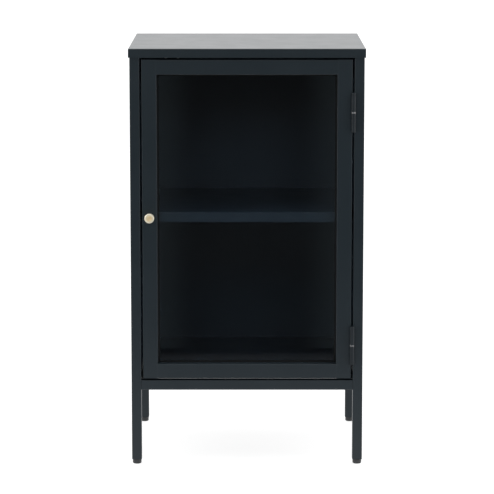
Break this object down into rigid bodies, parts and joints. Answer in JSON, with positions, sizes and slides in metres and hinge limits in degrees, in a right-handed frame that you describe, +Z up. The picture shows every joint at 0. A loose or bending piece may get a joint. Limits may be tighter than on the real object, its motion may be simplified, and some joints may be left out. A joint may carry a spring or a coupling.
{
  "type": "glazed display cabinet",
  "caption": "Free-standing black steel display cabinet on square tube legs, with a glazed hinged door, a round brass knob, a loose shelf and levelling feet.",
  "frame": {"origin": "on the floor, in the middle of the whole outline, which runs from the knob's nose to the rear skirt of the cover", "axes": "+Z up; the door faces -Y; +X is to the right of someone who faces the door, the side with the hinges"},
  "size_m": [0.475, 0.4264, 0.85],
  "materials": {
    "black_powder_coat": "fine matt powder coat, black with a blue cast",
    "hinge_black": "satin black",
    "glass": "clear float glass, ground edges",
    "gasket_rubber": "matt",
    "knob_brass": "pale satin brass",
    "washer_steel": "bright",
    "zinc_steel": "zinc plated",
    "foot_plastic": "moulded",
    "black_plastic": "moulded",
    "magnet": "sintered ferrite"
  },
  "bodies": {
    "carcass": {"back_panel": "black_powder_coat", "back_panel_screws": "zinc_steel", "catch_bracket": "hinge_black", "catch_housing": "black_plastic", "catch_magnet": "magnet", "catch_pole_plates": "zinc_steel", "catch_screws": "zinc_steel", "cover_screws": "zinc_steel", "cover_stiffener": "black_powder_coat", "floor_panel": "black_powder_coat", "front_bottom_rail": "black_powder_coat", "front_left_post": "black_powder_coat", "front_right_post": "black_powder_coat", "front_top_rail": "black_powder_coat", "hinge_post_screws": "zinc_steel", "hinge_washers": "washer_steel", "left_bottom_rail": "black_powder_coat", "left_side_panel": "black_powder_coat", "left_top_rail": "black_powder_coat", "lower_hinge_pin": "zinc_steel", "lower_hinge_post_half": "hinge_black", "post_plugs": "black_plastic", "rear_bottom_rail": "black_powder_coat", "rear_left_post": "black_powder_coat", "rear_right_post": "black_powder_coat", "rear_top_rail": "black_powder_coat", "right_bottom_rail": "black_powder_coat", "right_side_panel": "black_powder_coat", "right_top_rail": "black_powder_coat", "shelf_pins": "zinc_steel", "top_cover": "black_powder_coat", "upper_hinge_pin": "zinc_steel", "upper_hinge_post_half": "hinge_black"},
    "door": {"door_left_stile": "black_powder_coat", "door_right_stile": "black_powder_coat", "door_top_rail": "black_powder_coat", "door_bottom_rail": "black_powder_coat", "door_glass": "glass", "glass_gasket": "gasket_rubber", "glass_clips": "hinge_black", "glass_clip_screws": "zinc_steel", "knob": "knob_brass", "knob_base": "knob_brass", "knob_screw": "zinc_steel", "strike_plate": "zinc_steel", "strike_screws": "zinc_steel", "upper_hinge_door_half": "hinge_black", "lower_hinge_door_half": "hinge_black", "hinge_door_screws": "zinc_steel"},
    "shelf": {"shelf": "black_powder_coat"},
    "front_left_foot_body": {"front_left_foot": "foot_plastic", "front_left_foot_stud": "zinc_steel"},
    "front_right_foot_body": {"front_right_foot": "foot_plastic", "front_right_foot_stud": "zinc_steel"},
    "rear_left_foot_body": {"rear_left_foot": "foot_plastic", "rear_left_foot_stud": "zinc_steel"},
    "rear_right_foot_body": {"rear_right_foot": "foot_plastic", "rear_right_foot_stud": "zinc_steel"}
  },
  "joints": [
    {"name": "door_hinge", "type": "hinge", "parent": "carcass", "child": "door", "pos_m": [0.213, -0.19405, 0.503], "axis": [0, 0, 1], "range_deg": [0, 180]},
    {"name": "shelf_lift", "type": "slide", "parent": "carcass", "child": "shelf", "axis": [0, 0, 1], "range_m": [0, 0.05]},
    {"name": "front_left_foot_screw", "type": "slide", "parent": "carcass", "child": "front_left_foot_body", "axis": [0, 0, -1], "range_m": [0, 0.01]},
    {"name": "front_right_foot_screw", "type": "slide", "parent": "carcass", "child": "front_right_foot_body", "axis": [0, 0, -1], "range_m": [0, 0.01]},
    {"name": "rear_left_foot_screw", "type": "slide", "parent": "carcass", "child": "rear_left_foot_body", "axis": [0, 0, -1], "range_m": [0, 0.01]},
    {"name": "rear_right_foot_screw", "type": "slide", "parent": "carcass", "child": "rear_right_foot_body", "axis": [0, 0, -1], "range_m": [0, 0.01]}
  ]
}
